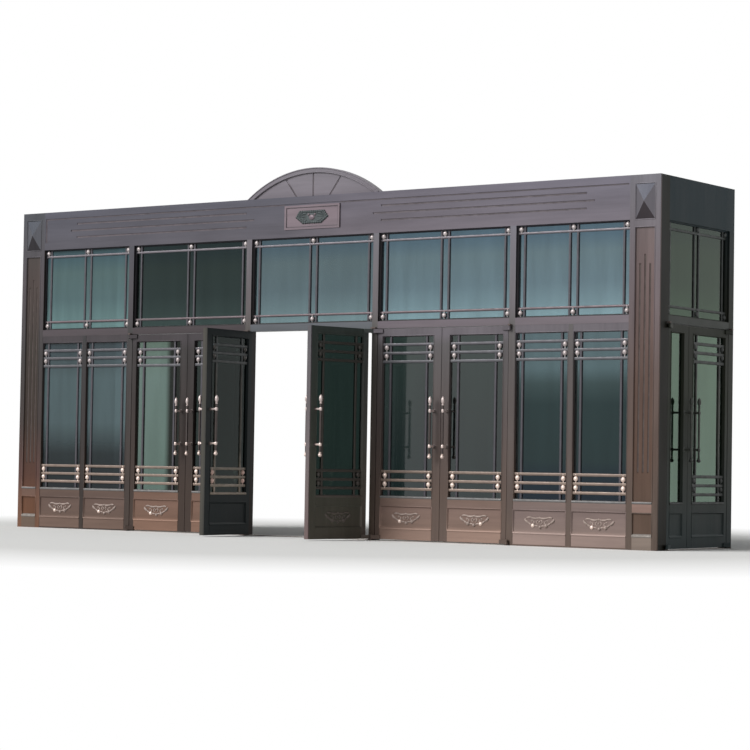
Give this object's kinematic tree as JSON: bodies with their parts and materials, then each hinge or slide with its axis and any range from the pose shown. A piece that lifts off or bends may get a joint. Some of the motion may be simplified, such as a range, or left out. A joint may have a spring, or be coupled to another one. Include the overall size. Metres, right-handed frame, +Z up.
{
  "type": "projecting entrance vestibule with glazed doors",
  "caption": "Projecting entrance of bronze-toned stainless steel: glazed door pairs and fixed panels between pilasters, with transom lights, frieze and a curved pediment.",
  "frame": {"origin": "on the floor under the middle of the centre threshold, halfway through the front frame's depth", "axes": "+X to the right seen from the street, +Y in through the entrance to the building's wall, +Z up"},
  "size_m": [8.536, 2.3641, 3.899],
  "materials": {
    "bronze_steel": "tinted, satin",
    "bright_trim": "tinted, polished",
    "glass": "grey-green float glass"
  },
  "bodies": {
    "frame": {"pilaster_left": "bronze_steel", "pilaster_right": "bronze_steel", "mullions": "bronze_steel", "end_bay_posts": "bronze_steel", "transom_rails": "bronze_steel", "thresholds": "bright_trim", "pivot_pins": "bright_trim", "frieze": "bronze_steel", "frieze_plaque": "bronze_steel", "pediment": "bronze_steel", "transom_bars": "bright_trim", "transom_glass": "glass", "fixed_panels": "bronze_steel", "fixed_panel_glass": "glass", "rear_posts": "bronze_steel", "side_fascias": "bronze_steel", "roof": "bronze_steel"},
    "left_bay_left_leaf": {"left_bay_left_leaf": "bronze_steel", "left_bay_left_leaf_glass": "glass", "left_bay_left_leaf_handles": "bright_trim"},
    "left_bay_right_leaf": {"left_bay_right_leaf": "bronze_steel", "left_bay_right_leaf_glass": "glass", "left_bay_right_leaf_handles": "bright_trim"},
    "centre_bay_left_leaf": {"centre_bay_left_leaf": "bronze_steel", "centre_bay_left_leaf_glass": "glass", "centre_bay_left_leaf_handles": "bright_trim"},
    "centre_bay_right_leaf": {"centre_bay_right_leaf": "bronze_steel", "centre_bay_right_leaf_glass": "glass", "centre_bay_right_leaf_handles": "bright_trim"},
    "right_bay_left_leaf": {"right_bay_left_leaf": "bronze_steel", "right_bay_left_leaf_glass": "glass", "right_bay_left_leaf_handles": "bright_trim"},
    "right_bay_right_leaf": {"right_bay_right_leaf": "bronze_steel", "right_bay_right_leaf_glass": "glass", "right_bay_right_leaf_handles": "bright_trim"},
    "left_side_narrow_leaf": {"left_side_narrow_leaf": "bronze_steel", "left_side_narrow_leaf_glass": "glass", "left_side_narrow_leaf_handles": "bright_trim"},
    "left_side_main_leaf": {"left_side_main_leaf": "bronze_steel", "left_side_main_leaf_glass": "glass", "left_side_main_leaf_handles": "bright_trim"},
    "right_side_narrow_leaf": {"right_side_narrow_leaf": "bronze_steel", "right_side_narrow_leaf_glass": "glass", "right_side_narrow_leaf_handles": "bright_trim"},
    "right_side_main_leaf": {"right_side_main_leaf": "bronze_steel", "right_side_main_leaf_glass": "glass", "right_side_main_leaf_handles": "bright_trim"}
  },
  "joints": [
    {"name": "left_bay_left_leaf_hinge", "type": "hinge", "parent": "frame", "child": "left_bay_left_leaf", "pos_m": [-2.496, -0.072, 0.014], "axis": [0, 0, -1], "range_deg": [0, 80]},
    {"name": "left_bay_right_leaf_hinge", "type": "hinge", "parent": "frame", "child": "left_bay_right_leaf", "pos_m": [-0.852, -0.072, 0.014], "axis": [0, 0, 1], "range_deg": [0, 80]},
    {"name": "centre_bay_left_leaf_hinge", "type": "hinge", "parent": "frame", "child": "centre_bay_left_leaf", "pos_m": [-0.822, -0.072, 0.014], "axis": [0, 0, -1], "range_deg": [-87.4, 0.6]},
    {"name": "centre_bay_right_leaf_hinge", "type": "hinge", "parent": "frame", "child": "centre_bay_right_leaf", "pos_m": [0.822, -0.072, 0.014], "axis": [0, 0, 1], "range_deg": [-78.6, 9.4]},
    {"name": "right_bay_left_leaf_hinge", "type": "hinge", "parent": "frame", "child": "right_bay_left_leaf", "pos_m": [0.852, -0.072, 0.014], "axis": [0, 0, -1], "range_deg": [0, 80]},
    {"name": "right_bay_right_leaf_hinge", "type": "hinge", "parent": "frame", "child": "right_bay_right_leaf", "pos_m": [2.496, -0.072, 0.014], "axis": [0, 0, 1], "range_deg": [0, 80]},
    {"name": "left_side_narrow_leaf_hinge", "type": "hinge", "parent": "frame", "child": "left_side_narrow_leaf", "pos_m": [-4.192, 0.11, 0.014], "axis": [0, 0, 1], "range_deg": [0, 85]},
    {"name": "left_side_main_leaf_hinge", "type": "hinge", "parent": "frame", "child": "left_side_main_leaf", "pos_m": [-4.192, 1.395, 0.014], "axis": [0, 0, -1], "range_deg": [0, 85]},
    {"name": "right_side_narrow_leaf_hinge", "type": "hinge", "parent": "frame", "child": "right_side_narrow_leaf", "pos_m": [4.192, 0.11, 0.014], "axis": [0, 0, -1], "range_deg": [0, 85]},
    {"name": "right_side_main_leaf_hinge", "type": "hinge", "parent": "frame", "child": "right_side_main_leaf", "pos_m": [4.192, 1.395, 0.014], "axis": [0, 0, 1], "range_deg": [0, 85]}
  ]
}
